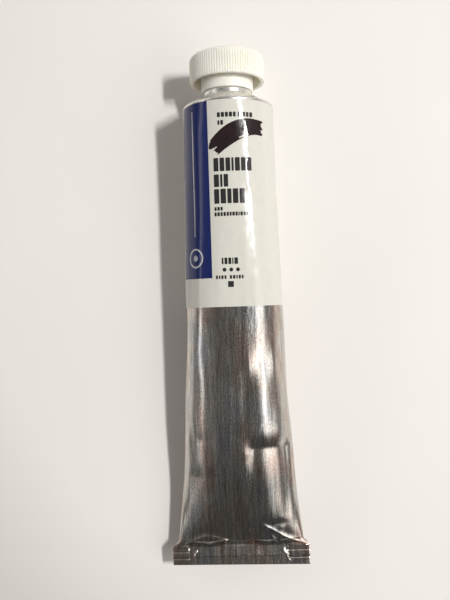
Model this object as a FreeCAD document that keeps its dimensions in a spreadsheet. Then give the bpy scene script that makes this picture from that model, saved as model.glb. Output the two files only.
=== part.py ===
"""Collapsible aluminium tube of artists' oil colour, lying on its back.

Frame: the tube's axis runs along +Y towards the cap, X is across it, +Z is up (the printed side).
The origin is at the middle of the footprint, on the surface the tube rests on. Millimetres.

Every cross-section of the soft wall is an oval of the same perimeter: the round tube's own, pi times
its diameter. The oval is a circle at the shoulder and widens towards the tail, where it is pressed
flat and folded. An oval of half width a keeps that perimeter when its half height b satisfies
a^s + b^s = F^s, where F is the flat half width and s = ln 2 / ln(pi / 2). Near the fold the wall is
creased: the creases take up part of the perimeter, and the oval is that much lower.
"""
import FreeCAD, Part
import math
import os

import Sketcher

doc = FreeCAD.newDocument("paint_tube")

# ---------------------------------------------------------------- driving dimensions

sheet = doc.addObject("Spreadsheet::Sheet", "Sizes")

TUBE_DIAMETER = 38.0

DIMENSIONS = [
    # the soft wall
    ("tube_radius", TUBE_DIAMETER / 2),
    ("flat_half_width", math.pi * TUBE_DIAMETER / 4),
    ("oval_power", math.log(2) / math.log(math.pi / 2)),
    ("wall_thickness", 0.2),
    ("wall_top", 86.875),
    ("wall_length", 187.75),
    ("tail_width_share", 0.8),
    ("taper_rate", 2.15),
    ("belly_sag", 0.6),
    ("crease_share", 0.75),
    ("crease_reach", 0.088),
    # the folded tail
    ("tail_end", -109.375),
    ("tail_height", 10.0),
    ("fold_length", 8.5),
    ("fold_thickness", 1.0),
    ("flap_length", 4.6),
    ("flap_thickness", 0.5),
    ("fold_rounding", 0.45),
    ("slit_half_width", 28.6),
    ("slit_half_height", 0.25),
    ("seal_width", 54.0),
    ("seal_length", 5.0),
    ("seal_thickness", 0.3),
    # shoulder and nozzle
    ("axis_height", 19.0),
    ("shoulder_edge", 87.675),
    ("shoulder_top", 92.575),
    ("shoulder_lip_radius", 18.3),
    ("hollow_cone_top", 93.805),
    ("shoulder_rounding", 0.8),
    ("ring_radius", 10.1),
    ("ring_top", 94.275),
    ("nozzle_radius", 7.7),
    ("nozzle_end", 106.275),
    ("mouth_radius", 6.0),
    ("mouth_rounding", 0.4),
    # screw thread, right-handed
    ("thread_pitch", 3.0),
    ("thread_depth", 1.1),
    ("thread_root_width", 1.5),
    ("thread_crest_width", 0.9),
    ("thread_overlap", 0.3),
    ("nozzle_thread_start", 95.825),
    ("nozzle_thread_rise", 9.0),
    ("cap_thread_start", 97.325),
    ("cap_thread_rise", 7.6),
    # screw cap
    ("cap_end", 109.375),
    ("skirt_radius", 15.75),
    ("skirt_lower_edge", 98.375),
    ("skirt_thickness", 1.65),
    ("collar_radius", 10.9),
    ("collar_lower_edge", 94.475),
    ("cap_bore_radius", 9.1),
    ("cap_top_thickness", 1.85),
    ("cap_rounding", 2.2),
    ("cap_edge_rounding", 0.4),
    ("rib_count", 90),
    ("rib_groove_width", 0.62),
    ("rib_groove_depth", 0.4),
    ("rib_groove_overrun", 1.0),
    # liner, paint and label
    ("liner_radius", 8.9),
    ("liner_thickness", 1.05),
    ("liner_gap", 0.1),
    ("paint_gap", 0.12),
    ("label_gap", 0.05),
    ("label_thickness", 0.12),
    ("label_top", 86.625),
    ("label_lower_edge", 4.3),
    ("label_gap_half_width", 9.0),
]

for row, (name, value) in enumerate(DIMENSIONS, start=1):
    sheet.set(f"A{row}", name)
    sheet.set(f"B{row}", f"{value:.9g}")
    sheet.setAlias(f"B{row}", name)
doc.recompute()


def size(expression):
    """The number that an expression over the sheet gives."""
    value = sheet.evalExpression(expression)
    return float(getattr(value, "Value", value))


def sized(name):
    """A sheet cell, as another object's expression names it."""
    return f"Sizes.{name}"


# How near two places are when they count as one.
SAME_PLACE = 0.01

# ---------------------------------------------------------------- the oval wall

# Where the wall's sections stand, as a share of the wall's length from the fold to the shoulder:
# closer together near the fold, where the wall changes fastest.
SECTIONS = 9
FIRST_SHARE = 0.02
CROWDING = 1.3


def station(index):
    """The share of the wall's length at which a section stands."""
    run = (index / (SECTIONS - 1)) ** CROWDING
    return round(FIRST_SHARE + (1 - FIRST_SHARE) * run, 4)


WALL_STATIONS = [station(index) for index in range(SECTIONS)]

# The plane of a section stands upright across the tube, its long axis along X.
ACROSS_TUBE = FreeCAD.Rotation(FreeCAD.Vector(1, 0, 0), 90)


def wall_oval(index, share):
    """One outer section of the soft wall, at a share of its length."""
    oval = doc.addObject("Part::Ellipse", f"WallOval{index}")
    oval.Placement = FreeCAD.Placement(FreeCAD.Vector(), ACROSS_TUBE)
    widening = (
        "Sizes.tail_width_share * (Sizes.flat_half_width - Sizes.tube_radius)"
        f" * (1 - {share}) / (1 + Sizes.taper_rate * {share})"
    )
    oval.setExpression("MajorRadius", f"Sizes.tube_radius + {widening}")
    creased = f"(1 - Sizes.crease_share * (1 - {share}) * exp(-{share} / Sizes.crease_reach))"
    oval.setExpression(
        "MinorRadius",
        f"min({oval.Name}.MajorRadius; 1mm * pow(pow(Sizes.flat_half_width; Sizes.oval_power)"
        f" - pow({oval.Name}.MajorRadius / 1mm; Sizes.oval_power); 1 / Sizes.oval_power)) * {creased}",
    )
    oval.setExpression(
        "Placement.Base.y", f"Sizes.tail_end + Sizes.fold_length + Sizes.wall_length * {share}"
    )
    sag = "Sizes.belly_sag" if share < 1 else "0"
    oval.setExpression(
        "Placement.Base.z", f"max({oval.Name}.MinorRadius / 1mm - {sag}; Sizes.tail_height)"
    )
    return oval


def offset_oval(oval, prefix, outward):
    """The same section moved outward by a distance, which is negative for inward."""
    moved = doc.addObject("Part::Ellipse", prefix + oval.Name)
    moved.Placement = FreeCAD.Placement(FreeCAD.Vector(), ACROSS_TUBE)
    for radius in ("MajorRadius", "MinorRadius"):
        moved.setExpression(radius, f"{oval.Name}.{radius} + ({outward}) * 1mm")
    for way in ("y", "z"):
        moved.setExpression(f"Placement.Base.{way}", f"{oval.Name}.Placement.Base.{way}")
    return moved


def loft(name, sections, ruled=False):
    solid = doc.addObject("Part::Loft", name)
    solid.Sections = sections
    solid.Solid = True
    solid.Ruled = ruled
    return solid


def box(name, low, high):
    """A box between two corners, each coordinate an expression."""
    block = doc.addObject("Part::Box", name)
    for side, way, start, end in zip(("Length", "Width", "Height"), "xyz", low, high):
        block.setExpression(side, f"({end}) - ({start})")
        block.setExpression(f"Placement.Base.{way}", start)
    return block


def joined(name, *shapes):
    fuse = doc.addObject("Part::MultiFuse", name)
    fuse.Shapes = list(shapes)
    return fuse


def cut(name, base, tool):
    result = doc.addObject("Part::Cut", name)
    result.Base = base
    result.Tool = tool
    return result


def common(name, first, second):
    result = doc.addObject("Part::Common", name)
    result.Base = first
    result.Tool = second
    return result


# Half the size of the space round the tube, across it and along it.
REACH = "60"
ALONG = "120"


def above(name, height):
    """All the space above a height: what a resting belly is flattened against."""
    return box(name, (f"-{REACH}", f"-{ALONG}", height), (REACH, ALONG, REACH))


wall_ovals = [wall_oval(index, share) for index, share in enumerate(WALL_STATIONS)]


def wall_solid(name, outward, floor):
    """The closed form whose side is the wall's outer face moved outward, flat on its belly."""
    ovals = [offset_oval(oval, name, outward) for oval in wall_ovals]
    return common(name, loft(name + "Loft", ovals), above(name + "Floor", floor)), ovals[0]


def tail_oval(name, half_width, half_height):
    """The pressed-flat section where the wall runs into the fold."""
    oval = doc.addObject("Part::Ellipse", name)
    oval.Placement = FreeCAD.Placement(FreeCAD.Vector(), ACROSS_TUBE)
    oval.setExpression("MajorRadius", f"({half_width}) * 1mm")
    oval.setExpression("MinorRadius", f"({half_height}) * 1mm")
    oval.setExpression("Placement.Base.y", "Sizes.tail_end + Sizes.fold_length")
    oval.setExpression("Placement.Base.z", "Sizes.tail_height")
    return oval


# ---------------------------------------------------------------- tube body

outer, outer_last = wall_solid("Outer", "0", "0")
outer_slope = loft(
    "OuterSlope",
    [tail_oval("OuterTail", sized("flat_half_width"), "Sizes.fold_thickness / 2"), outer_last],
    ruled=True,
)
inner, inner_last = wall_solid("Inner", "-Sizes.wall_thickness", sized("wall_thickness"))
inner_slope = loft(
    "InnerSlope",
    [tail_oval("InnerTail", sized("slit_half_width"), sized("slit_half_height")), inner_last],
    ruled=True,
)

fold_bottom = "Sizes.tail_height - Sizes.fold_thickness / 2"
fold_top = "Sizes.tail_height + Sizes.fold_thickness / 2"
fold = box(
    "Fold",
    ("-Sizes.flat_half_width", sized("tail_end"), fold_bottom),
    (sized("flat_half_width"), "Sizes.tail_end + Sizes.fold_length", fold_top),
)
flap = box(
    "Flap",
    ("-Sizes.flat_half_width", sized("tail_end"), fold_top),
    (
        sized("flat_half_width"),
        "Sizes.tail_end + Sizes.flap_length",
        f"{fold_top} + Sizes.flap_thickness",
    ),
)
seal_low = (
    "-Sizes.seal_width / 2",
    "Sizes.tail_end + Sizes.fold_length - Sizes.seal_length",
    "Sizes.tail_height - Sizes.seal_thickness / 2",
)
seal_high = (
    "Sizes.seal_width / 2",
    "Sizes.tail_end + Sizes.fold_length",
    "Sizes.tail_height + Sizes.seal_thickness / 2",
)
seal_slot = box("SealSlot", seal_low, seal_high)

folded = joined("FoldedTail", fold, flap)
rounded_fold = doc.addObject("Part::Fillet", "RoundedFold")
rounded_fold.Base = folded
doc.recompute()


def long_edges_at_tail_end(shape):
    """The fold's two long outer edges and the flap's step."""
    found = []
    for number, edge in enumerate(shape.Edges, start=1):
        along_x = abs(edge.Vertexes[0].X - edge.Vertexes[-1].X) > size("flat_half_width")
        at_end = abs(edge.Vertexes[0].Y - size("tail_end")) < SAME_PLACE
        if along_x and at_end and len(edge.Vertexes) == 2:
            found.append(number)
    return found


rounded_fold.Edges = [
    (number, size("fold_rounding"), size("fold_rounding"))
    for number in long_edges_at_tail_end(folded.Shape)
]

tube_skin = joined("TubeSkin", outer, outer_slope, rounded_fold)
tube_hollow = joined("TubeHollow", inner, inner_slope, seal_slot)
tube_body = cut("TubeBody", tube_skin, tube_hollow)
tube_body.Label = "tube_body"

tail_seal = box("TailSeal", seal_low, seal_high)
tail_seal.Label = "tail_seal"


# ---------------------------------------------------------------- paint and label

paint_inset = "-Sizes.wall_thickness - Sizes.paint_gap"
paint_floor = "Sizes.wall_thickness + Sizes.paint_gap"
paint_belly, paint_last = wall_solid("Paint", paint_inset, paint_floor)
paint_slope = loft(
    "PaintSlope",
    [
        tail_oval("PaintTail", "Sizes.slit_half_width - Sizes.paint_gap", "Sizes.paint_gap"),
        paint_last,
    ],
    ruled=True,
)
paint_neck = doc.addObject("Part::Cone", "PaintNeck")
paint_neck.Placement.Rotation = FreeCAD.Rotation(FreeCAD.Vector(1, 0, 0), -90)
paint_neck.setExpression("Radius1", "(Sizes.shoulder_lip_radius - 3 * Sizes.paint_gap) * 1mm")
paint_neck.setExpression("Radius2", "(Sizes.mouth_radius - 3 * Sizes.paint_gap) * 1mm")
paint_neck.setExpression("Height", "(Sizes.hollow_cone_top - Sizes.wall_top) * 1mm")
paint_neck.setExpression("Placement.Base.y", "Sizes.wall_top")
paint_neck.setExpression("Placement.Base.z", "Sizes.axis_height")
paint_fill = joined("PaintFill", paint_belly, paint_slope, paint_neck)
paint_fill.Label = "paint_fill"

label_outer, _ = wall_solid("LabelOuter", "Sizes.label_gap + Sizes.label_thickness", "0")
label_inner, _ = wall_solid("LabelInner", sized("label_gap"), "0")
label_film = cut("LabelFilm", label_outer, label_inner)
label_band = box(
    "LabelBand",
    (f"-{REACH}", sized("label_lower_edge"), "0"),
    (REACH, sized("label_top"), REACH),
)
label_opening = box(
    "LabelOpening",
    ("-Sizes.label_gap_half_width", sized("label_lower_edge"), "0"),
    (sized("label_gap_half_width"), sized("label_top"), sized("label_gap_half_width")),
)
wrap_label = common("WrapLabel", label_film, cut("LabelReach", label_band, label_opening))
wrap_label.Label = "wrap_label"


# ---------------------------------------------------------------- turned and moulded pieces


def new_body(label):
    """A body whose XY plane lies at the height of the tube's axis, which is its own Y axis."""
    body = doc.addObject("PartDesign::Body", label.title().replace("_", ""))
    body.Label = label
    body.setExpression("Placement.Base.z", "Sizes.axis_height")
    return body


def origin_plane(body, role):
    """One of the body's own origin planes."""
    return next(feature for feature in body.Origin.OriginFeatures if feature.Role == role)


def outline(body, name, corners):
    """A closed outline of straight edges on the XY plane, every corner bound to the sheet."""
    sketch = body.newObject("Sketcher::SketchObject", name)
    sketch.AttachmentSupport = [(origin_plane(body, "XY_Plane"), "")]
    sketch.MapMode = "FlatFace"
    places = [FreeCAD.Vector(size(across), size(along), 0) for across, along in corners]
    for place, following in zip(places, places[1:] + places[:1]):
        sketch.addGeometry(Part.LineSegment(place, following))
    for number in range(len(corners)):
        following = (number + 1) % len(corners)
        sketch.addConstraint(Sketcher.Constraint("Coincident", number, 2, following, 1))
    for number, (corner, place) in enumerate(zip(corners, places)):
        for way, expression, value in zip("XY", corner, place):
            constraint = Sketcher.Constraint(f"Distance{way}", -1, 1, number, 1, value)
            index = sketch.addConstraint(constraint)
            sketch.setExpression(f"Constraints[{index}]", f"({expression}) * 1mm")
    return sketch


def revolved(body, name, corners):
    """The outline turned once round the tube's axis."""
    sketch = outline(body, name + "Outline", corners)
    turned = body.newObject("PartDesign::Revolution", name)
    turned.Profile = sketch
    turned.ReferenceAxis = (sketch, ["V_Axis"])
    turned.Angle = 360
    body.Tip = turned
    doc.recompute()
    return turned


def circles(feature, radius, along):
    """Names of the feature's circular edges of a radius at a place along the axis."""
    found = []
    for number, edge in enumerate(feature.Shape.Edges, start=1):
        curve = edge.Curve
        if not isinstance(curve, Part.Circle):
            continue
        same_radius = abs(curve.Radius - size(radius)) < SAME_PLACE
        same_height = abs(curve.Center.y - size(along)) < SAME_PLACE
        if same_radius and same_height:
            found.append(f"Edge{number}")
    return found


def rounded(body, name, radius, *places):
    """Round the circular edges that stand at the given (radius, place along the axis)."""
    base = body.Tip
    names = [edge for place in places for edge in circles(base, *place)]
    fillet = body.newObject("PartDesign::Fillet", name)
    fillet.Base = (base, names)
    fillet.setExpression("Radius", f"({radius}) * 1mm")
    body.Tip = fillet
    doc.recompute()
    return fillet


def thread(body, name, root_radius, outward, start, rise):
    """A right-handed helical ridge on a wall of the root radius, outward or inward."""
    before = body.Shape.Volume
    crest = f"{root_radius} + {outward} * Sizes.thread_depth"
    buried = f"{root_radius} - {outward} * Sizes.thread_overlap"
    # the flanks run on at the same slope into the wall that carries them
    buried_width = (
        "Sizes.thread_root_width + (Sizes.thread_root_width - Sizes.thread_crest_width)"
        " * Sizes.thread_overlap / Sizes.thread_depth"
    )
    ridge = outline(
        body,
        name + "Outline",
        [
            (buried, f"{start} - ({buried_width}) / 2"),
            (crest, f"{start} - Sizes.thread_crest_width / 2"),
            (crest, f"{start} + Sizes.thread_crest_width / 2"),
            (buried, f"{start} + ({buried_width}) / 2"),
        ],
    )
    helix = body.newObject("PartDesign::AdditiveHelix", name)
    helix.Profile = ridge
    helix.ReferenceAxis = (ridge, ["V_Axis"])
    helix.Mode = "pitch-height-angle"
    helix.Angle = 0
    helix.LeftHanded = False
    helix.Reversed = False
    helix.setExpression("Pitch", "Sizes.thread_pitch * 1mm")
    helix.setExpression("Height", f"{rise} * 1mm")
    body.Tip = helix
    doc.recompute()
    print(name, "adds", helix.Shape.Volume - before, "cubic mm")
    return helix


# ---------------------------------------------------------------- shoulder and nozzle

nozzle = new_body("nozzle_shoulder")
revolved(
    nozzle,
    "NozzleForm",
    [
        (sized("shoulder_lip_radius"), sized("wall_top")),
        (sized("tube_radius"), sized("wall_top")),
        (sized("tube_radius"), sized("shoulder_edge")),
        (sized("ring_radius"), sized("shoulder_top")),
        (sized("ring_radius"), sized("ring_top")),
        (sized("nozzle_radius"), sized("ring_top")),
        (sized("nozzle_radius"), sized("nozzle_end")),
        (sized("mouth_radius"), sized("nozzle_end")),
        (sized("mouth_radius"), sized("hollow_cone_top")),
    ],
)
rounded(
    nozzle,
    "ShoulderRounding",
    sized("shoulder_rounding"),
    (sized("tube_radius"), sized("shoulder_edge")),
)
rounded(
    nozzle,
    "MouthRounding",
    sized("mouth_rounding"),
    (sized("nozzle_radius"), sized("nozzle_end")),
    (sized("mouth_radius"), sized("nozzle_end")),
    (sized("ring_radius"), sized("ring_top")),
)
thread(
    nozzle,
    "NozzleThread",
    sized("nozzle_radius"),
    1,
    sized("nozzle_thread_start"),
    sized("nozzle_thread_rise"),
)

# ---------------------------------------------------------------- screw cap and liner

cap = new_body("cap_form")
skirt_inside = "Sizes.skirt_radius - Sizes.skirt_thickness"
cap_ceiling = "Sizes.cap_end - Sizes.cap_top_thickness"
revolved(
    cap,
    "CapForm",
    [
        ("0", sized("cap_end")),
        ("0", cap_ceiling),
        (sized("cap_bore_radius"), cap_ceiling),
        (sized("cap_bore_radius"), sized("collar_lower_edge")),
        (sized("collar_radius"), sized("collar_lower_edge")),
        (sized("collar_radius"), cap_ceiling),
        (skirt_inside, cap_ceiling),
        (skirt_inside, sized("skirt_lower_edge")),
        (sized("skirt_radius"), sized("skirt_lower_edge")),
        (sized("skirt_radius"), sized("cap_end")),
    ],
)
rounded(cap, "CapRounding", sized("cap_rounding"), (sized("skirt_radius"), sized("cap_end")))
rounded(
    cap,
    "CapEdges",
    sized("cap_edge_rounding"),
    (sized("skirt_radius"), sized("skirt_lower_edge")),
    (skirt_inside, sized("skirt_lower_edge")),
    (sized("collar_radius"), sized("collar_lower_edge")),
)
thread(
    cap,
    "CapThread",
    sized("cap_bore_radius"),
    -1,
    sized("cap_thread_start"),
    sized("cap_thread_rise"),
)


def rib_grooves():
    """The straight V grooves round the skirt, which leave the ribs of the grip standing."""
    skirt = size("skirt_radius")
    depth = size("rib_groove_depth")
    half_width = size("rib_groove_width") / 2
    low = size("skirt_lower_edge - rib_groove_overrun")
    high = size("cap_end + rib_groove_overrun")
    corners = [
        FreeCAD.Vector(-2 * half_width, low, skirt + depth),
        FreeCAD.Vector(0, low, skirt - depth),
        FreeCAD.Vector(2 * half_width, low, skirt + depth),
    ]
    triangle = Part.Face(Part.makePolygon(corners + corners[:1]))
    one_groove = triangle.extrude(FreeCAD.Vector(0, high - low, 0))
    count = int(size("rib_count"))
    axis = FreeCAD.Vector(0, 1, 0)
    turned = [one_groove.rotated(FreeCAD.Vector(), axis, 360 * turn / count) for turn in range(count)]
    return Part.makeCompound(turned)


grooves = doc.addObject("Part::Feature", "RibGrooves")
grooves.Shape = rib_grooves()
grooves.Placement.Base.z = size("axis_height")
screw_cap = cut("ScrewCapRibbed", cap, grooves)
screw_cap.Label = "screw_cap"

liner = new_body("cap_liner")
liner_low = "Sizes.nozzle_end + Sizes.liner_gap"
revolved(
    liner,
    "LinerForm",
    [
        ("0", liner_low),
        (sized("liner_radius"), liner_low),
        (sized("liner_radius"), f"{liner_low} + Sizes.liner_thickness - Sizes.liner_gap"),
        ("0", f"{liner_low} + Sizes.liner_thickness - Sizes.liner_gap"),
    ],
)

# ---------------------------------------------------------------- check and write

doc.recompute()
PIECES = [tube_body, nozzle, tail_seal, paint_fill, wrap_label, screw_cap, liner]

for thing in doc.Objects:
    if "Invalid" in thing.State or "Error" in thing.State:
        raise RuntimeError(f"{thing.Name} failed: {thing.State}")
for piece in PIECES:
    shape = piece.Shape
    if shape.isNull() or not shape.isValid() or len(shape.Solids) != 1:
        raise RuntimeError(f"{piece.Label} is not one valid solid")

os.makedirs("parts", exist_ok=True)
for piece in PIECES:
    piece.Shape.exportStep(f"parts/{piece.Label}.step")
    print(piece.Label, round(piece.Shape.Volume, 1), "cubic mm")
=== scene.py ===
"""Looks of a collapsible metal tube of oil colour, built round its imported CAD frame.

Lengths are in metres, as in the frame. The soft wall, the label, the print and the paint are all laid
out on one sheet: (s, y) in millimetres, where s runs round the wall from the middle of its top and y
along the tube towards the cap. wall_points() bends that sheet to the dented wall.
"""
import math

import bmesh
import bpy
import numpy as np
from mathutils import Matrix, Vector


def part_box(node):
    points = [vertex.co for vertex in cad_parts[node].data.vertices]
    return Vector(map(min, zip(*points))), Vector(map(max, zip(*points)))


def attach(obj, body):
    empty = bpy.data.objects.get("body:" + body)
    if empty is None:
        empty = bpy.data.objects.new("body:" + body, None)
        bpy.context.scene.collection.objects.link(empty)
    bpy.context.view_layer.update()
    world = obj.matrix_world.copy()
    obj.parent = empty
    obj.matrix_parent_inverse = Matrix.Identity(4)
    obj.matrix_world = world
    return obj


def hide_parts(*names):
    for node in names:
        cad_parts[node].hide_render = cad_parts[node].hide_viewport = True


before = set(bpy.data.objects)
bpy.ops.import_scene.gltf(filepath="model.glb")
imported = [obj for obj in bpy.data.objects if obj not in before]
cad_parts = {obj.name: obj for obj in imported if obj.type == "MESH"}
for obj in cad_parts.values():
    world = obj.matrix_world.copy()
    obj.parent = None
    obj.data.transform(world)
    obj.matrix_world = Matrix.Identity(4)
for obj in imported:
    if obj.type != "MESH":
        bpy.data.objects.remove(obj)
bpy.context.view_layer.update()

MM = 0.001

# ---------------------------------------------------------------- sizes read from the frame

body_low, body_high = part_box("tube_body")
nozzle_low, nozzle_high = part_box("nozzle_shoulder")
cap_low, cap_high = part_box("screw_cap")
label_low, label_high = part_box("wrap_label")
paint_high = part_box("paint_fill")[1]

TUBE_RADIUS = (nozzle_high[0] - nozzle_low[0]) / 2 / MM
FLAT_HALF_WIDTH = body_high[0] / MM
TAIL_END = body_low[1] / MM
WALL_TOP = body_high[1] / MM
AXIS_HEIGHT = (cap_low[2] + cap_high[2]) / 2 / MM

# The wall's shape, as in the CAD: ovals of one perimeter that widen towards the fold, where creases
# take up part of the perimeter.
FOLD_LENGTH = 8.5
FOLD_TOP = TAIL_END + FOLD_LENGTH
TAIL_HEIGHT = 10.0
WALL_LENGTH = WALL_TOP - FOLD_TOP
OVAL_POWER = math.log(2) / math.log(math.pi / 2)
TAIL_WIDTH_SHARE = 0.8
TAPER_RATE = 2.15
BELLY_SAG = 0.6
CREASE_SHARE = 0.75
CREASE_REACH = 0.088
LIFT_BLEND = 1.6
SLOPE_LENGTH = 0.02 * WALL_LENGTH
WALL_THICKNESS = 0.2

LABEL_LIFT = 0.08
LABEL_UNDERSIDE = 0.05
INK_LIFT = 0.13
INK_UNDERSIDE = 0.06
SHARP_ANGLE = math.radians(50)


def smooth_step(value, start, end):
    share = np.clip((value - start) / (end - start), 0, 1)
    return share * share * (3 - 2 * share)


# ---------------------------------------------------------------- the dented wall


def oval_sizes(y):
    """Half width, half height and centre height of the wall's oval at y."""
    share = np.clip((y - FOLD_TOP) / WALL_LENGTH, 0, 1)
    narrow = np.maximum(share, SLOPE_LENGTH / WALL_LENGTH)
    widening = TAIL_WIDTH_SHARE * (FLAT_HALF_WIDTH - TUBE_RADIUS)
    half_width = TUBE_RADIUS + widening * (1 - narrow) / (1 + TAPER_RATE * narrow)
    left_over = FLAT_HALF_WIDTH**OVAL_POWER - half_width**OVAL_POWER
    creased = 1 - CREASE_SHARE * (1 - share) * np.exp(-share / CREASE_REACH)
    half_height = np.minimum(half_width, left_over ** (1 / OVAL_POWER)) * creased
    sag = BELLY_SAG * np.clip((1 - share) / 0.08, 0, 1)
    above = half_height - sag - TAIL_HEIGHT
    centre = TAIL_HEIGHT + (above + np.sqrt(above**2 + LIFT_BLEND**2)) / 2
    centre = centre - (1 - smooth_step(share, 0, 0.2)) * LIFT_BLEND / 4
    # the last few millimetres run down to the pressed fold
    pressed = 1 - smooth_step(y, FOLD_TOP, FOLD_TOP + SLOPE_LENGTH)
    straight = np.clip(1 - (y - FOLD_TOP) / SLOPE_LENGTH, 0, 1)
    half_width = half_width + (FLAT_HALF_WIDTH - half_width) * pressed
    half_height = half_height + (0.5 - half_height) * (0.35 * pressed + 0.65 * straight)
    return half_width, half_height, centre


def patch(s, y, s_mid, y_mid, s_reach, y_reach):
    return np.exp(-(((s - s_mid) / s_reach) ** 2) - ((y - y_mid) / y_reach) ** 2)


def distance_to_line(s, y, points):
    """Distance in the sheet from each point to a line through the given points."""
    nearest = np.full(np.shape(s), 1e9)
    for (s_a, y_a), (s_b, y_b) in zip(points, points[1:]):
        along = np.array([s_b - s_a, y_b - y_a])
        share = np.clip(((s - s_a) * along[0] + (y - y_a) * along[1]) / (along @ along), 0, 1)
        nearest = np.minimum(nearest, np.hypot(s - s_a - share * along[0], y - y_a - share * along[1]))
    return nearest


def waves(s, y, seed, s_length, y_length, count=14):
    """Smooth random undulation between about -1 and 1, from a few sine waves."""
    random = np.random.RandomState(seed)
    total = np.zeros(np.shape(s))
    for _ in range(count):
        s_rate = 2 * math.pi / s_length * random.uniform(0.5, 1.5)
        y_rate = 2 * math.pi / y_length * random.uniform(-1.2, 1.2)
        total += np.sin(s * s_rate + y * y_rate + random.uniform(0, 2 * math.pi))
    return total / math.sqrt(count)


# Soft dents: (s, y, reach round, reach along, depth), negative pressed in.
DENTS = [
    (11.0, -19.0, 3.4, 5.5, -0.55),
    (5.0, -19.5, 1.8, 4.0, 0.16),
    (16.5, -20.5, 1.8, 4.5, 0.2),
    (-13.5, -15.0, 2.2, 7.0, -0.22),
    (18.2, -89.5, 2.4, 1.6, -0.4),
    (6.0, -50.0, 7.0, 9.0, -0.45),
    (11.2, 55.0, 2.6, 4.0, 0.13),
    (11.5, 15.5, 2.2, 3.5, 0.12),
    (-17.0, 40.0, 6.0, 16.0, -0.2),
    (-1.0, 66.0, 7.0, 13.0, -0.18),
    (30.0, -30.0, 8.0, 16.0, -0.5),
    (-31.0, -8.0, 7.0, 18.0, -0.45),
    (-28.0, -66.0, 6.0, 12.0, -0.4),
    (44.0, 10.0, 9.0, 20.0, -0.35),
    (-44.0, 44.0, 9.0, 22.0, -0.3),
    (32.0, 58.0, 7.0, 14.0, -0.25),
]

# Sharp creases: (points, reach, height).
CREASES = [
    ([(-25.0, -98.6), (-21.0, -96.6), (-16.2, -94.6), (-11.5, -95.4), (-7.0, -97.2)], 1.5, 0.75),
    ([(-7.0, -97.2), (0.0, -97.6), (6.0, -97.2)], 1.2, 0.35),
    ([(10.5, -90.0), (14.5, -92.3), (19.5, -95.6), (27.5, -99.8)], 1.5, 0.8),
    ([(12.0, -91.5), (14.0, -95.5), (17.0, -98.8)], 1.3, 0.5),
    ([(3.5, -58.0), (6.5, -52.0), (9.5, -45.5)], 1.6, 0.2),
    ([(-9.0, -76.0), (-14.5, -80.0), (-20.5, -88.0)], 2.4, 0.14),
    (
        [
            (6.6, 78.0),
            (9.0, 67.0),
            (6.6, 61.6),
            (7.0, 53.0),
            (9.8, 46.0),
            (10.4, 41.0),
            (9.8, 27.0),
            (11.0, 16.0),
        ],
        1.9,
        0.19,
    ),
]


# Pressed steps, where a finger pushed the wall in: it drops towards the tail and then runs out flat.
# (s from, s to, y of the top of the drop, y of its foot, y where it has run out, depth)
STEPS = [
    (4.4, 24.0, -48.0, -55.0, -88.0, 1.35),
    (-23.0, -10.5, -43.0, -51.0, -62.0, 0.45),
    (-22.0, -10.5, -60.0, -67.5, -78.0, 0.42),
    (-3.0, 6.0, -22.0, -30.0, -44.0, 0.22),
]


STEP_BLEND = 2.5
STEP_POWER = 1.7

# The printed side is pressed flatter; its right edge wanders from the tail to the cap.
PRESSED_REACH = 8.0
RIGHT_EDGE = 7.5
RIGHT_EDGE_DRIFT = 3.8


def step_shape(s, y, s_low, s_high, y_top, y_foot, y_end, depth):
    left = smooth_step(s, s_low - STEP_BLEND, s_low + STEP_BLEND)
    right = 1 - smooth_step(s, s_high - STEP_BLEND, s_high + STEP_BLEND)
    sides = left * right
    drop = np.clip((y_top - y) / (y_top - y_foot), 0, 1) ** STEP_POWER
    run_out = np.clip((y - y_end) / (y_foot - y_end), 0, 1)
    return -depth * sides * np.where(y > y_foot, drop, run_out)


def dent(s, y):
    """How far the wall stands out from its plain oval, in millimetres."""
    free = smooth_step(WALL_TOP - y, 0, 16)
    low = smooth_step(-y, -60, 30)
    # the printed side is pressed flatter, which leaves a soft edge on both sides of it
    out = -(0.15 + 0.95 * smooth_step(-y, -75, 0)) * free * np.exp(-((s / PRESSED_REACH) ** 2))
    right_edge = RIGHT_EDGE + RIGHT_EDGE_DRIFT * smooth_step(-y, -78, -5)
    out = out + 0.16 * free * np.exp(-(((s - right_edge) / 2.6) ** 2))
    out = out + 0.14 * free * np.exp(-(((s + 14.5) / 2.4) ** 2))
    out = out + 0.10 * low * free * np.exp(-(((s - 18.6) / 1.8) ** 2))
    for s_mid, y_mid, s_reach, y_reach, depth in DENTS:
        out = out + depth * patch(s, y, s_mid, y_mid, s_reach, y_reach)
    for step in STEPS:
        out = out + step_shape(s, y, *step)
    for points, reach, height in CREASES:
        gap = distance_to_line(s, y, points)
        out = out + height * (np.exp(-gap / reach) - 0.6 * np.exp(-((gap / (2.2 * reach)) ** 2)))
    # long shallow flutes left by drawing and handling, and slower swells
    out = out + 0.020 * free * (0.4 + low) * waves(s, y, 3, 5.5, 90)
    out = out + 0.055 * free * (0.5 + low) * waves(s, y, 5, 17, 42)
    pressed = smooth_step(y, FOLD_TOP, FOLD_TOP + 1.5)
    return out * pressed


AROUND = np.linspace(-math.pi, math.pi, 721)
WALL_HALF_PERIMETER = math.pi * TUBE_RADIUS


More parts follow.
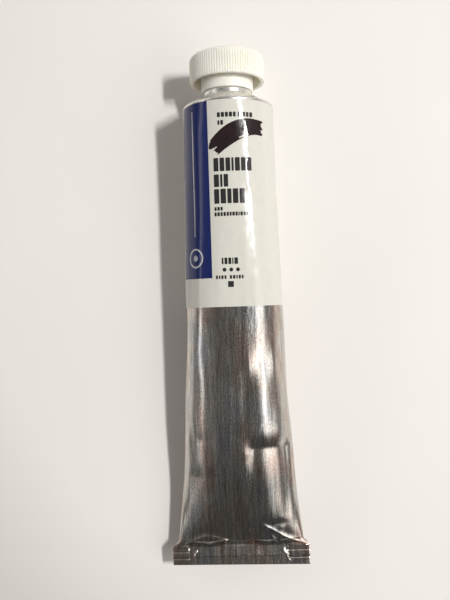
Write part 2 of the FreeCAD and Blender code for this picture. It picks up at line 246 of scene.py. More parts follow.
def wall_points(s, y, lift):
    """Bend sheet points (s, y) to the dented wall and move them outward by lift. Metres."""
    s, y = np.broadcast_arrays(np.asarray(s, float), np.asarray(y, float))
    out = np.empty(s.shape + (3,))
    for place in np.unique(y):
        here = y == place
        half_width, half_height, centre = (float(v) for v in oval_sizes(np.float64(place)))
        x_line = half_width * np.sin(AROUND)
        z_line = half_height * np.cos(AROUND)
        run = np.concatenate([[0], np.cumsum(np.hypot(np.diff(x_line), np.diff(z_line)))])
        run = run / run[-1] * 2 - 1
        angle = np.interp(s[here] / WALL_HALF_PERIMETER, run, AROUND)
        normal = np.stack([np.sin(angle) / half_width, np.cos(angle) / half_height])
        normal /= np.hypot(*normal)
        move = lift + dent(s[here], place)
        out[here, 0] = half_width * np.sin(angle) + normal[0] * move
        out[here, 1] = place
        out[here, 2] = centre + half_height * np.cos(angle) + normal[1] * move
    out[..., 2] = np.maximum(out[..., 2], max(-lift, 0))
    return out * MM


# ---------------------------------------------------------------- mesh helpers


def add_object(name, vertices, faces, material, body, smooth=True):
    mesh = bpy.data.meshes.new(name)
    mesh.from_pydata([tuple(v) for v in vertices], [], faces)
    mesh.validate()
    work = bmesh.new()
    work.from_mesh(mesh)
    bmesh.ops.recalc_face_normals(work, faces=work.faces)
    for edge in work.edges:
        edge.smooth = edge.calc_face_angle(0.0) < SHARP_ANGLE
    work.to_mesh(mesh)
    work.free()
    mesh.materials.append(material)
    piece = bpy.data.objects.new(name, mesh)
    bpy.context.scene.collection.objects.link(piece)
    if smooth:
        mesh.shade_smooth()
    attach(piece, body)
    return piece


def grid_faces(rows, columns, start=0, closed=False):
    """Quads of a grid of rows by columns, whose last column meets the first when closed."""
    faces = []
    last = columns if closed else columns - 1
    for row in range(rows - 1):
        for column in range(last):
            following = (column + 1) % columns
            a = start + row * columns + column
            b = start + row * columns + following
            faces.append((a, b, b + columns, a + columns))
    return faces


def mark_sheet(piece, s, y):
    """Keep each vertex's place in the sheet, in millimetres, for the material."""
    layer = piece.data.attributes.new("sheet", "FLOAT_VECTOR", "POINT")
    values = np.zeros((len(piece.data.vertices), 3))
    values[:, 0] = np.ravel(s)
    values[:, 1] = np.ravel(y)
    layer.data.foreach_set("vector", values.ravel())


# ---------------------------------------------------------------- material helpers


class Nodes:
    """A short way to write a node material."""

    def __init__(self, name):
        self.material = bpy.data.materials.new(name)
        self.material.use_nodes = True
        self.tree = self.material.node_tree
        self.shader = self.tree.nodes["Principled BSDF"]

    def set(self, **values):
        for name, value in values.items():
            self.shader.inputs[name.replace("_", " ")].default_value = value

    def node(self, kind, inputs=None, **settings):
        made = self.tree.nodes.new("ShaderNode" + kind)
        for name, value in settings.items():
            setattr(made, name, value)
        for name, value in (inputs or {}).items():
            if isinstance(value, bpy.types.NodeSocket):
                self.tree.links.new(value, made.inputs[name])
            else:
                made.inputs[name].default_value = value
        return made

    def link(self, value, name):
        self.tree.links.new(value, self.shader.inputs[name])

    def sheet(self):
        return self.node("Attribute", attribute_name="sheet").outputs["Vector"]

    def place(self):
        return self.node("TexCoord").outputs["Object"]

    def scaled(self, vector, scale):
        return self.node("Mapping", {"Vector": vector, "Scale": scale}).outputs[0]

    def noise(self, vector, scale, detail=4.0, roughness=0.55, distortion=0.0):
        sockets = {
            "Vector": vector,
            "Scale": scale,
            "Detail": detail,
            "Roughness": roughness,
            "Distortion": distortion,
        }
        return self.node("TexNoise", sockets).outputs["Fac"]

    def ramp(self, factor, stops):
        ramp = self.node("ValToRGB", {"Fac": factor})
        band = ramp.color_ramp
        while len(band.elements) < len(stops):
            band.elements.new(0.5)
        for element, (place, colour) in zip(band.elements, stops):
            element.position = place
            element.color = (*colour, 1) if len(colour) == 3 else colour
        return ramp.outputs["Color"]

    def level(self, factor, low, high, start=0.0, end=1.0):
        sockets = {"Value": factor, "From Min": start, "From Max": end, "To Min": low, "To Max": high}
        return self.node("MapRange", sockets).outputs[0]

    def math(self, operation, first, second=0.0):
        return self.node("Math", {0: first, 1: second}, operation=operation).outputs[0]

    def mix(self, factor, first, second, kind="MIX"):
        made = self.node("Mix", data_type="RGBA", blend_type=kind)
        for name, value in ((0, factor), (6, first), (7, second)):
            if isinstance(value, bpy.types.NodeSocket):
                self.tree.links.new(value, made.inputs[name])
            else:
                made.inputs[name].default_value = (*value, 1) if isinstance(value, tuple) else value
        return made.outputs[2]

    def bump(self, height, distance, strength=1.0, below=None):
        sockets = {"Height": height, "Distance": distance, "Strength": strength}
        if below is not None:
            sockets["Normal"] = below
        return self.node("Bump", sockets).outputs["Normal"]


def drawn_metal(name="drawn_aluminium"):
    """Bare drawn aluminium: fine lines along the tube, warm and bluish tarnish, small scuffs."""
    make = Nodes(name)
    sheet = make.sheet()
    fine = make.noise(make.scaled(sheet, (3.1, 0.16, 1)), 1.0, 5.0, 0.68)
    middle = make.noise(make.scaled(sheet, (0.75, 0.035, 1)), 1.0, 4.0, 0.6)
    speckle = make.noise(make.scaled(sheet, (2.6, 1.1, 1)), 1.0, 3.0, 0.6)
    cloud = make.noise(make.scaled(sheet, (0.085, 0.04, 1)), 1.0, 3.0, 0.5, 0.4)
    streak = make.math("ADD", make.math("MULTIPLY", fine, 0.6), make.math("MULTIPLY", middle, 0.4))
    tone = make.ramp(streak, [(0.36, (0.37, 0.36, 0.345)), (0.62, (0.92, 0.905, 0.88))])
    stops = [(0.34, (0.90, 0.92, 1.0)), (0.47, (1.0, 0.99, 0.95)), (0.62, (0.98, 0.83, 0.77))]
    tone = make.mix(1.0, tone, make.ramp(cloud, stops), "MULTIPLY")
    grain = make.ramp(speckle, [(0.36, (0.66, 0.66, 0.66)), (0.60, (1.0, 1.0, 1.0))])
    make.link(make.mix(1.0, tone, grain, "MULTIPLY"), "Base Color")
    wear = make.math("ADD", make.math("MULTIPLY", streak, 0.6), make.math("MULTIPLY", speckle, 0.4))
    make.link(make.level(wear, 0.09, 0.24, 0.38, 0.62), "Roughness")
    scuff = make.bump(speckle, 0.00007, 0.22)
    make.link(make.bump(fine, 0.00006, 0.50, scuff), "Normal")
    make.set(Metallic=1.0)
    return make.material


def turned_metal(name="bare_aluminium"):
    """Pressed bare aluminium of the shoulder and nozzle, with faint rings round the axis."""
    make = Nodes(name)
    place = make.place()
    split = make.node("SeparateXYZ", {"Vector": place})
    height = make.math("SUBTRACT", split.outputs["Z"], AXIS_HEIGHT * MM)
    across = make.math("POWER", split.outputs["X"], 2.0)
    radius = make.math("SQRT", make.math("ADD", across, make.math("POWER", height, 2.0)))
    rings = make.node("CombineXYZ", {"X": make.math("MULTIPLY", radius, 9000.0), "Y": 0.3})
    ring_noise = make.noise(rings.outputs[0], 1.0, 3.0, 0.6)
    grain = make.noise(make.scaled(place, (900, 900, 900)), 1.0, 4.0, 0.6)
    stops = [(0.35, (0.80, 0.79, 0.76)), (0.65, (0.93, 0.92, 0.89))]
    make.link(make.ramp(ring_noise, stops), "Base Color")
    make.link(make.level(grain, 0.24, 0.40, 0.35, 0.65), "Roughness")
    make.link(make.bump(ring_noise, 0.00003, 0.5), "Normal")
    make.set(Metallic=1.0)
    return make.material


def label_print(name, colour, wear=0.06, roughness=0.11):
    """Glossy printed film: even colour with slight mottling, and a faint orange-peel gloss."""
    make = Nodes(name)
    sheet = make.sheet()
    mottle = make.noise(make.scaled(sheet, (0.35, 0.25, 1)), 1.0, 5.0, 0.6)
    grain = make.noise(make.scaled(sheet, (6.0, 6.0, 1)), 1.0, 3.0, 0.6)
    shade = make.math("ADD", make.math("MULTIPLY", mottle, 0.7), make.math("MULTIPLY", grain, 0.3))
    dark = tuple(c * (1 - wear) for c in colour)
    light = tuple(min(1.0, c * (1 + wear)) for c in colour)
    make.link(make.ramp(shade, [(0.35, dark), (0.65, light)]), "Base Color")
    make.link(make.level(mottle, roughness - 0.03, roughness + 0.06, 0.35, 0.65), "Roughness")
    peel = make.noise(make.scaled(sheet, (1.1, 0.35, 1)), 1.0, 2.0, 0.5)
    fine = make.bump(grain, 0.00001, 0.35)
    make.link(make.bump(peel, 0.00008, 0.25, fine), "Normal")
    make.set(IOR=1.48, Specular_IOR_Level=0.5)
    return make.material


def cap_plastic(name="cap_plastic"):
    """Ivory moulded polypropylene, slightly waxy, with a matte moulded grain and handling marks."""
    make = Nodes(name)
    place = make.place()
    grain = make.noise(make.scaled(place, (2600, 2600, 2600)), 1.0, 4.0, 0.6)
    cloud = make.noise(make.scaled(place, (90, 90, 90)), 1.0, 4.0, 0.6)
    stops = [(0.35, (0.85, 0.825, 0.74)), (0.65, (0.915, 0.895, 0.81))]
    make.link(make.ramp(cloud, stops), "Base Color")
    make.link(make.level(cloud, 0.36, 0.50, 0.35, 0.65), "Roughness")
    make.link(make.bump(grain, 0.00002, 0.35), "Normal")
    make.set(Subsurface_Weight=0.55, Subsurface_Scale=0.0035, Subsurface_Radius=(1.0, 0.8, 0.5))
    make.set(Specular_IOR_Level=0.42, IOR=1.49)
    return make.material


def oil_paint(name="oil_paint"):
    """Stiff dark brown oil colour, glossy and slightly ridged."""
    make = Nodes(name)
    place = make.place()
    ridges = make.noise(make.scaled(place, (420, 420, 420)), 1.0, 5.0, 0.55, 0.6)
    stops = [(0.3, (0.018, 0.010, 0.007)), (0.7, (0.050, 0.024, 0.014))]
    make.link(make.ramp(ridges, stops), "Base Color")
    make.link(make.level(ridges, 0.16, 0.34, 0.3, 0.7), "Roughness")
    make.link(make.bump(ridges, 0.0004, 0.6), "Normal")
    return make.material


def soft_compound(name, dark, light, scale, depth):
    """A matte rubbery or foamed stuff with a fine cell."""
    make = Nodes(name)
    place = make.place()
    cells = make.node("TexVoronoi", {"Vector": place, "Scale": scale}).outputs["Distance"]
    cloud = make.noise(make.scaled(place, (200, 200, 200)), 1.0, 4.0, 0.6)
    make.link(make.ramp(cloud, [(0.3, dark), (0.7, light)]), "Base Color")
    make.link(make.level(cloud, 0.62, 0.82, 0.3, 0.7), "Roughness")
    make.link(make.bump(cells, depth, 0.5), "Normal")
    return make.material


# ---------------------------------------------------------------- pieces


WALL_COLUMNS = 240
CREASED_LENGTH = 16


def wall_rows():
    """Where the sheet's rows stand: close together at the tail, where the creases are sharp."""
    fine = np.linspace(FOLD_TOP, FOLD_TOP + CREASED_LENGTH, 60, endpoint=False)
    rest = np.linspace(FOLD_TOP + CREASED_LENGTH, WALL_TOP, 190)
    return np.concatenate([fine, rest])


def make_wall(material):
    """The soft wall, a sheet of real thickness: outer face, inner face and both end rings."""
    rows = wall_rows()
    columns = WALL_COLUMNS
    s_line = np.linspace(-WALL_HALF_PERIMETER, WALL_HALF_PERIMETER, columns, endpoint=False)
    s, y = np.meshgrid(s_line, rows)
    outer = wall_points(s, y, 0.0)
    inner = wall_points(s, y, -WALL_THICKNESS)
    count = len(rows) * columns
    faces = grid_faces(len(rows), columns, 0, True)
    faces += [face[::-1] for face in grid_faces(len(rows), columns, count, True)]
    for end in (0, len(rows) - 1):
        for column in range(columns):
            following = (column + 1) % columns
            a = end * columns + column
            b = end * columns + following
            faces.append((a, b, count + b, count + a))
    vertices = np.concatenate([outer.reshape(-1, 3), inner.reshape(-1, 3)])
    wall = add_object("soft_wall", vertices, faces, material, "tube")
    mark_sheet(wall, np.concatenate([s.ravel(), s.ravel()]), np.concatenate([y.ravel(), y.ravel()]))
    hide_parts("tube_body")
    return wall


FOLD_SKEW = 1.35
FOLD_OVERLAP = 0.25
FOLD_ROUNDING = 0.5
FOLD_COLUMNS = 260
FACET_START = 4.6
FOLD_HIGHEST = 0.98


def fold_start(x):
    """Where the folded tail ends, for each x: it was rolled a little out of square."""
    return TAIL_END + FOLD_SKEW * (FLAT_HALF_WIDTH - x) / (2 * FLAT_HALF_WIDTH)


def fold_top_height(x, from_end):
    """Upper face of the folded tail, in millimetres above its mid plane."""
    end_zone = smooth_step(x, 19.9, 20.7) + smooth_step(-x, 22.4, 23.2)
    # rolled layers: three strips between two grooves at both ends
    strips = 0.30 + 0.055 * from_end
    strips = strips - 0.30 * np.exp(-(((from_end - 3.2) / 0.20) ** 2))
    strips = strips - 0.34 * np.exp(-(((from_end - 6.7) / 0.24) ** 2))
    strips = strips + 0.14 * np.exp(-(((from_end - 5.0) / 1.2) ** 2))
    # between them a flat panel, and a facet that leans back towards the tube
    panel = 0.40 + 0.02 * from_end
    facet = FOLD_HIGHEST - 0.16 * (from_end - FACET_START)
    step = panel + 0.50 * smooth_step(from_end, 4.15, FACET_START)
    middle = np.where(from_end < FACET_START, step, facet)
    height = end_zone * strips + (1 - end_zone) * middle
    # the slanted creases where the rolled ends were pressed over
    for x_foot, x_head in ((-23.6, -19.6), (20.8, 18.4)):
        line = distance_to_line(x, from_end, [(x_foot, 2.0), (x_head, 7.0)])
        height = height + 0.42 * np.exp(-line / 0.38) - 0.10 * np.exp(-((line / 1.4) ** 2))
    height = height + 0.035 * waves(x, from_end, 11, 7.0, 6.0)
    rounding = np.clip((FOLD_ROUNDING - from_end) / FOLD_ROUNDING, 0, 1)
    height = height * np.sqrt(np.clip(1 - rounding**2, 0.0, 1))
    return np.minimum(height, FOLD_HIGHEST)


def fold_under_height(x, from_end):
    """Under face of the folded tail, in millimetres from its mid plane."""
    rounding = np.clip((FOLD_ROUNDING - from_end) / FOLD_ROUNDING, 0, 1)
    under = -0.47 + 0.02 * waves(x, from_end, 17, 7.0, 6.0)
    return under * np.sqrt(np.clip(1 - rounding**2, 0.0, 1))


def make_fold(material):
    """The folded tail: a pressed band a little under 60 mm wide, rolled over twice."""
    columns = FOLD_COLUMNS
    length = FOLD_LENGTH + FOLD_OVERLAP
    x_line = np.linspace(-FLAT_HALF_WIDTH, FLAT_HALF_WIDTH, columns)
    rounded = FOLD_ROUNDING * (1 - np.cos(np.linspace(0, math.pi / 2, 8)))
    flat = np.linspace(FOLD_ROUNDING, length, 86)[1:]
    run = np.concatenate([rounded, flat]) / length
    x, share = np.meshgrid(x_line, run)
    y = fold_start(x) + share * (FOLD_TOP + FOLD_OVERLAP - fold_start(x))
    from_end = share * length
    side_slope = 0.12 * np.exp(-((FLAT_HALF_WIDTH - np.abs(x)) / 0.3))
    top = np.stack([x, y, TAIL_HEIGHT + fold_top_height(x, from_end) - side_slope], axis=-1)
    under = np.stack([x, y, TAIL_HEIGHT + fold_under_height(x, from_end) + side_slope], axis=-1)
    count = x.size
    rows = len(run)
    faces = grid_faces(rows, columns)
    faces += [face[::-1] for face in grid_faces(rows, columns, count)]
    for row in range(rows - 1):
        for column in (0, columns - 1):
            a = row * columns + column
            faces.append((a, a + columns, count + a + columns, count + a))
    for row in (0, rows - 1):
        for column in range(columns - 1):
            a = row * columns + column
            faces.append((a, a + 1, count + a + 1, count + a))
    vertices = np.concatenate([top.reshape(-1, 3), under.reshape(-1, 3)]) * MM
    fold = add_object("folded_tail", vertices, faces, material, "tube")
    mark_sheet(fold, np.concatenate([x.ravel(), x.ravel()]), np.concatenate([y.ravel(), y.ravel()]))
    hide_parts("tube_body")
    return fold


LABEL_TOP = label_high[1] / MM
LABEL_LOWER_EDGE = label_low[1] / MM
LABEL_HALF_WRAP = WALL_HALF_PERIMETER - 9.6


def make_label(material):
    """The printed film round the upper half, open in a strip along the belly."""
    s_line = np.linspace(-LABEL_HALF_WRAP, LABEL_HALF_WRAP, 210)
    y_line = np.linspace(LABEL_LOWER_EDGE, LABEL_TOP, 150)
    s, y = np.meshgrid(s_line, y_line)
    outer = wall_points(s, y, LABEL_LIFT)
    inner = wall_points(s, y, LABEL_UNDERSIDE)
    count = s.size
    columns = len(s_line)
    faces = grid_faces(len(y_line), columns)
    faces += [face[::-1] for face in grid_faces(len(y_line), columns, count)]
    for row in range(len(y_line) - 1):
        for column in (0, columns - 1):
            a = row * columns + column
            faces.append((a, a + columns, count + a + columns, count + a))
    for row in (0, len(y_line) - 1):
        for column in range(columns - 1):
            a = row * columns + column
            faces.append((a, a + 1, count + a + 1, count + a))
    vertices = np.concatenate([outer.reshape(-1, 3), inner.reshape(-1, 3)])
    film = add_object("printed_film", vertices, faces, material, "tube")
    mark_sheet(film, np.concatenate([s.ravel(), s.ravel()]), np.concatenate([y.ravel(), y.ravel()]))
    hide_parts("wrap_label")
    return film


def make_print(name, outlines, material, step=0.45):
    """Ink on the label: flat outlines in the sheet, cut into small faces and bent to the wall."""
    work = bmesh.new()
    for outline in outlines:
        corners = [work.verts.new((s, y, 0)) for s, y in outline]
        work.faces.new(corners)
    bmesh.ops.triangulate(work, faces=work.faces)
    for axis in (0, 1):
        values = [v.co[axis] for v in work.verts]
        for cut_at in np.arange(math.floor(min(values)), max(values), step):
            normal = Vector((1, 0, 0)) if axis == 0 else Vector((0, 1, 0))
            everything = work.verts[:] + work.edges[:] + work.faces[:]
            place = normal * float(cut_at)
            bmesh.ops.bisect_plane(work, geom=everything, plane_co=place, plane_no=normal)
    bmesh.ops.remove_doubles(work, verts=work.verts, dist=1e-4)
    work.verts.index_update()
    flat = np.array([tuple(v.co) for v in work.verts])
    top_faces = [tuple(v.index for v in face.verts) for face in work.faces]
    rim = [tuple(v.index for v in edge.verts) for edge in work.edges if len(edge.link_faces) == 1]
    work.free()
    s, y = flat[:, 0], np.round(flat[:, 1], 4)
    top = wall_points(s, y, INK_LIFT)
    under = wall_points(s, y, INK_UNDERSIDE)
    count = len(flat)
    faces = top_faces + [tuple(count + i for i in face[::-1]) for face in top_faces]
    faces += [(a, b, count + b, count + a) for a, b in rim]
    ink = add_object(name, np.concatenate([top, under]), faces, material, "tube")
    mark_sheet(ink, np.concatenate([s, s]), np.concatenate([y, y]))
    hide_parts("wrap_label")
    return ink


def bar(s_low, s_high, y_low, y_high, corner=0.25):
    """A bar with rounded corners."""
    points = []
    corner = min(corner, (s_high - s_low) / 2 - 0.01, (y_high - y_low) / 2 - 0.01)
    centres = (
        (s_high - corner, y_high - corner, 0),
        (s_low + corner, y_high - corner, 90),
        (s_low + corner, y_low + corner, 180),
        (s_high - corner, y_low + corner, 270),
    )
    for s_mid, y_mid, start in centres:
        for turn in (0, 45, 90):
            angle = math.radians(start + turn)
            points.append((s_mid + corner * math.cos(angle), y_mid + corner * math.sin(angle)))
    return points


def bar_row(s_low, y_low, y_high, widths, gap):
    """A row of plain bars that stands where a line of print would."""
    bars = []
    for width in widths:
        bars.append(bar(s_low, s_low + width, y_low, y_high))
        s_low += width + gap
    return bars


def disc(s_mid, y_mid, radius, count=20):
    turns = [2 * math.pi * i / count for i in range(count)]
    return [(s_mid + radius * math.cos(t), y_mid + radius * math.sin(t)) for t in turns]


def ring(s_mid, y_mid, outer, inner, count=36):
    """A ring, as quads side by side."""
    quads = []
    for i in range(count):
        a, b = 2 * math.pi * i / count, 2 * math.pi * (i + 1) / count
        quads.append([
            (s_mid + r * math.cos(t), y_mid + r * math.sin(t))
            for r, t in ((inner, a), (outer, a), (outer, b), (inner, b))
        ])
    return quads


STROKE_LINE = ((-7.6, 66.6), (-1.5, 72.4), (5.0, 77.6), (15.6, 75.4))
STROKE_TRACKS = 15
STROKE_PIECES = 26


def brush_stroke():
    """A dragged stroke of colour: bristle tracks side by side, each starting and ending for itself."""
    random = np.random.RandomState(21)
    guide = np.array(STROKE_LINE)

    def edge_point(t, across):
        u = 1 - t
        middle = u**3 * guide[0] + 3 * u * u * t * guide[1] + 3 * u * t * t * guide[2] + t**3 * guide[3]
        first, second, third = guide[1] - guide[0], guide[2] - guide[1], guide[3] - guide[2]
        along = u * u * first + 2 * u * t * second + t * t * third
        along = along / np.hypot(*along)
        reach = 3.0 + 0.8 * math.sin(math.pi * min(t * 1.15, 1))
        return middle[0] - along[1] * across * reach, middle[1] + along[0] * across * reach

    quads = []
    for track in range(STROKE_TRACKS):
        low = -1 + 2 * track / STROKE_TRACKS
        high = -1 + 2 * (track + 1) / STROKE_TRACKS
        middle = (low + high) / 2
        # a round tip on the upper half, a blunt foot on the lower one
        if middle > -0.15:
            start = 0.12 * ((middle - 0.42) / 0.58) ** 2
        else:
            start = 0.035 + random.uniform(0, 0.03)
        end = 0.985 - random.uniform(0, 0.05)
        for i in range(STROKE_PIECES):
            t_a = start + (end - start) * i / STROKE_PIECES
            t_b = start + (end - start) * (i + 1) / STROKE_PIECES
            if track == 1 and 0.50 < t_a < 0.66:
                continue
            corners = ((t_a, low), (t_b, low), (t_b, high), (t_a, high))
            quads.append([edge_point(t, across) for t, across in corners])
    return quads


PAINT_CLEARANCE = 0.12
PAINT_COLUMNS = 96


def make_paint(material):
    """The paint: it fills the wall, the shoulder and the foot of the nozzle."""
    gap = WALL_THICKNESS + PAINT_CLEARANCE
    columns = PAINT_COLUMNS
    s_line = np.linspace(-WALL_HALF_PERIMETER, WALL_HALF_PERIMETER, columns, endpoint=False)
    y_line = np.linspace(FOLD_TOP + 1.2, WALL_TOP - 1.0, 110)
    s, y = np.meshgrid(s_line, y_line)
    rings = [wall_points(s, y, -gap)]
    angle = s_line / WALL_HALF_PERIMETER * math.pi
    top_y = paint_high[1] / MM
    # (radius, y): along the shoulder cone and up the nozzle to a slightly domed end
    neck = [
        (17.9, WALL_TOP),
        (11.5, 90.2),
        (5.75, top_y - 0.9),
        (5.6, top_y - 0.25),
        (4.0, top_y - 0.05),
    ]
    for radius, place in neck:
        height = AXIS_HEIGHT + radius * np.cos(angle)
        line = np.stack([radius * np.sin(angle), np.full(columns, place), height], axis=-1)
        rings.append(line[None] * MM)
    vertices = np.concatenate(rings).reshape(-1, 3)
    row_count = len(y_line) + len(neck)
    faces = grid_faces(row_count, columns, 0, True)
    faces.append(tuple(range(columns)))
    faces.append(tuple(range((row_count - 1) * columns, row_count * columns)))
    paint = add_object("paint_inside", vertices, faces, material, "tube")
    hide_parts("paint_fill")
    return paint


# ---------------------------------------------------------------- build

metal = drawn_metal()
make_wall(metal)
make_fold(metal)
make_label(label_print("label_film", (0.665, 0.655, 0.60), 0.03))
make_paint(oil_paint())

INK_BLACK = label_print("ink_black", (0.030, 0.029, 0.030), 0.10)
INK_BLUE = label_print("ink_blue", (0.008, 0.018, 0.115), 0.10)
INK_UMBER = label_print("ink_umber", (0.022, 0.013, 0.015), 0.16)
INK_WHITE = label_print("ink_white", (0.70, 0.71, 0.74), 0.03)

BAND_LEFT, BAND_RIGHT = -25.6, -8.9
BAND_FOOT = 16.0
band = bar(BAND_LEFT, BAND_RIGHT, BAND_FOOT, LABEL_TOP - 0.05, 0.1)
make_print("print_band", [band], INK_BLUE)
make_print("print_stroke", brush_stroke(), INK_UMBER)

# plain bars, dots and a block stand where the lines of print are
marks = []
marks += bar_row(-4.7, 79.6, 81.5, (1.2, 1.3, 1.2, 1.3, 1.1), 0.35)
marks += bar_row(3.6, 79.6, 81.5, (1.3, 1.4, 1.1, 1.3), 0.35)
marks += bar_row(-4.6, 76.6, 78.4, (0.8, 1.1), 0.35)
marks += bar_row(-6.8, 58.4, 63.7, (2.0, 1.9, 1.9, 0.9, 2.0, 1.8, 2.0), 0.5)
marks += bar_row(-6.85, 52.2, 57.2, (2.1, 0.9, 1.8), 0.5)
marks += bar_row(-6.95, 45.6, 51.4, (2.1, 2.2, 1.7, 2.2, 2.1), 0.55)
marks += bar_row(-7.0, 42.8, 44.3, (0.9, 1.0, 0.9), 0.3)
marks += bar_row(-7.05, 40.6, 42.2, (0.9, 1.0, 0.9, 1.0, 0.9, 0.8, 1.0, 0.9, 0.5, 1.0, 0.9, 0.8), 0.3)
marks += bar_row(-4.7, 21.4, 24.0, (0.7, 1.2, 1.2, 0.5, 1.5), 0.4)
marks += [disc(-3.7, 19.2, 0.8), disc(-0.9, 19.2, 0.8), disc(1.9, 19.2, 0.8)]
marks += bar_row(-7.3, 15.5, 17.0, (0.8, 0.6, 0.9, 0.8), 0.4)
marks += bar_row(-1.6, 15.5, 17.0, (0.9, 1.0, 0.6, 0.9, 0.7), 0.4)
marks += [bar(-2.4, 0.0, 12.2, 14.6, 0.1)]
make_print("print_marks", marks, INK_BLACK)

light_marks = []
light_marks += [bar(-17.0, -16.45, 33.0, 83.5, 0.25)]
light_marks += ring(-16.7, 24.3, 4.0, 3.35)
light_marks += [disc(-16.7, 24.3, 1.2)]
make_print("print_light_marks", light_marks, INK_WHITE)


def dress(node, material):
    """Give a CAD node its finished material."""
    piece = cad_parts[node]
    piece.data.materials.clear()
    piece.data.materials.append(material)


dress("nozzle_shoulder", turned_metal())
dress("screw_cap", cap_plastic())
liner_foam = soft_compound("liner_foam", (0.80, 0.79, 0.75), (0.90, 0.89, 0.86), 5200, 0.00008)
dress("cap_liner", liner_foam)
sealing = soft_compound("sealing_compound", (0.40, 0.30, 0.16), (0.56, 0.44, 0.26), 3000, 0.00005)
dress("tail_seal", sealing)

# ---------------------------------------------------------------- studio

FLOOR_REACH = 2.5
# the painted pool of light on the table: its middle, and the reaches from it where the painted falloff of
# light starts and ends
PAINTED_POOL_MIDDLE = (0.10, 0.06, 0.0)
PAINTED_POOL_REACH = 0.22
PAINTED_FALLOFF_REACH = 0.40
WINDOW_STRENGTH = 1.5
ROOM_STRENGTH = 1.12

# Soft patches of light on the pale wall: (azimuth, elevation, inner and outer reach in degrees, strength).
LOBES = (
    (-14, 43, 7, 24, 1.0),
    (-38, 41, 4, 18, 0.85),
    (-36, 55, 3, 15, 0.6),
    (12, 50, 5, 26, 0.45),
)


def make_floor():
    """A pale table, its colour darkened away from the middle: a painted pool of light, standing in for the
    light falling off.
    """
    make = Nodes("pale_table")
    place = make.place()
    cloud = make.noise(make.scaled(place, (9, 9, 9)), 1.0, 3.0, 0.5)
    pale = make.ramp(cloud, [(0.3, (0.795, 0.775, 0.75)), (0.7, (0.815, 0.80, 0.78))])
    # painted shade: the table's colour is darkened away from the middle, standing in for the light falling
    # off
    from_middle = make.node("VectorMath", {0: place, 1: PAINTED_POOL_MIDDLE}, operation="DISTANCE")
    painted_falloff = make.level(from_middle.outputs["Value"], 0.0, 1.0, PAINTED_POOL_REACH, PAINTED_FALLOFF_REACH)
    dim = make.mix(1.0, pale, (0.40, 0.385, 0.37), "MULTIPLY")
    make.link(make.mix(painted_falloff, pale, dim), "Base Color")
    make.set(Roughness=0.6, Specular_IOR_Level=0.2)
    mesh = bpy.data.meshes.new("table_top")
    reach = FLOOR_REACH
    corners = [(-reach, -reach, 0), (reach, -reach, 0), (reach, reach, 0), (-reach, reach, 0)]
    mesh.from_pydata(corners, [], [(0, 1, 2, 3)])
    mesh.materials.append(make.material)
    floor = bpy.data.objects.new("table_top", mesh)
    bpy.context.scene.collection.objects.link(floor)


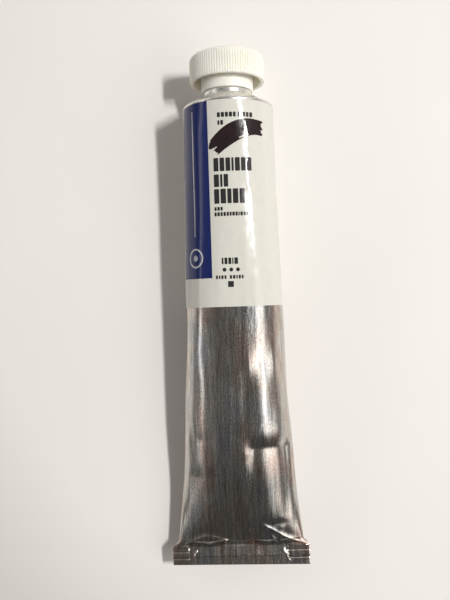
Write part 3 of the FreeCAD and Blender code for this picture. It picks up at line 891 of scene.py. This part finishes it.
def make_world():
    """A dim room with a pale wall to the right, a low window to the left and a dark side in front."""
    world = bpy.data.worlds.new("room")
    world.use_nodes = True
    tree = world.node_tree
    background = tree.nodes["Background"]

    def node(kind, operation, first, second=0.0):
        made = tree.nodes.new(kind)
        made.operation = operation
        for index, value in enumerate((first, second)):
            if isinstance(value, bpy.types.NodeSocket):
                tree.links.new(value, made.inputs[index])
            else:
                made.inputs[index].default_value = value
        return made

    def calc(operation, first, second=0.0):
        return node("ShaderNodeMath", operation, first, second).outputs[0]

    def rise(value, start, end, low, high):
        made = tree.nodes.new("ShaderNodeMapRange")
        made.interpolation_type = "SMOOTHSTEP"
        tree.links.new(value, made.inputs["Value"])
        for name, number in (("From Min", start), ("From Max", end), ("To Min", low), ("To Max", high)):
            made.inputs[name].default_value = number
        return made.outputs[0]

    way = tree.nodes.new("ShaderNodeTexCoord").outputs["Generated"]
    split = tree.nodes.new("ShaderNodeSeparateXYZ")
    tree.links.new(way, split.inputs[0])
    across, along, up = split.outputs

    def lobe(azimuth, elevation, inner, outer, strength):
        """A round soft patch of light; angles in degrees."""
        azimuth, elevation = math.radians(azimuth), math.radians(elevation)
        centre = (
            math.cos(elevation) * math.cos(azimuth),
            math.cos(elevation) * math.sin(azimuth),
            math.sin(elevation),
        )
        dot = node("ShaderNodeVectorMath", "DOT_PRODUCT", way, centre).outputs["Value"]
        return rise(dot, math.cos(math.radians(outer)), math.cos(math.radians(inner)), 0.0, strength)

    # the room's own dim light: darkest overhead and in front (-Y), brighter behind the cap (+Y)
    overhead = rise(up, 0.45, 0.97, 0.27, 0.12)
    front = rise(along, -0.88, -0.34, 0.24, 0.95)
    back = rise(along, 0.15, 0.75, 1.0, 1.9)
    total = calc("MULTIPLY", calc("MULTIPLY", overhead, front), back)
    # the low dark band round the table, and the skirting light at the horizon on the right
    low = rise(up, 0.0, 0.26, 0.62, 1.0)
    total = calc("MULTIPLY", total, low)
    skirting = calc("MULTIPLY", rise(up, 0.03, 0.12, 0.5, 0.0), rise(across, 0.3, 0.9, 0.0, 1.0))
    total = calc("ADD", total, skirting)
    # the low window on the left: a long strip
    strip = calc("MULTIPLY", rise(up, 0.24, 0.33, 0.0, 1.0), rise(up, 0.38, 0.47, 1.0, 0.0))
    strip = calc("MULTIPLY", strip, rise(across, -0.80, -0.35, 1.0, 0.0))
    strip = calc("MULTIPLY", strip, rise(along, -0.50, -0.18, 0.15, 1.0))
    total = calc("ADD", total, calc("MULTIPLY", strip, WINDOW_STRENGTH))
    for numbers in LOBES:
        total = calc("ADD", total, lobe(*numbers))
    tint = tree.nodes.new("ShaderNodeVectorMath")
    tint.operation = "SCALE"
    tint.inputs[0].default_value = (1.0, 0.955, 0.92)
    tree.links.new(total, tint.inputs["Scale"])
    tree.links.new(tint.outputs[0], background.inputs["Color"])
    background.inputs["Strength"].default_value = ROOM_STRENGTH
    bpy.context.scene.world = world


KEY_PLACE = (0.566, 0.147, 1.048)
KEY_SIZE = (0.20, 0.05)
KEY_POWER = 10.5
KEY_COLOUR = (1.0, 0.985, 0.955)


def make_light(name, place, aim, size, power, colour):
    lamp = bpy.data.lights.new(name, "AREA")
    lamp.shape = "RECTANGLE"
    lamp.size, lamp.size_y = size
    lamp.energy = power
    lamp.color = colour
    holder = bpy.data.objects.new(name, lamp)
    holder.location = place
    holder.rotation_euler = (Vector(aim) - Vector(place)).to_track_quat("-Z", "Y").to_euler()
    bpy.context.scene.collection.objects.link(holder)


CAMERA_PLACE = (-0.00378, 0.00705, 0.304)
CAMERA_TURN = math.radians(-1.82)
CAMERA_LENS = 40.38


def make_camera():
    lens = bpy.data.cameras.new("view")
    lens.sensor_width = 36.0
    lens.lens = CAMERA_LENS
    lens.clip_start = 0.01
    camera = bpy.data.objects.new("view", lens)
    camera.location = CAMERA_PLACE
    camera.rotation_euler = (0, 0, CAMERA_TURN)
    bpy.context.scene.collection.objects.link(camera)
    bpy.context.scene.camera = camera


make_floor()
make_world()
make_light("key", KEY_PLACE, (0, 0, 0), KEY_SIZE, KEY_POWER, KEY_COLOUR)
make_camera()
bpy.context.scene.view_settings.view_transform = "Standard"
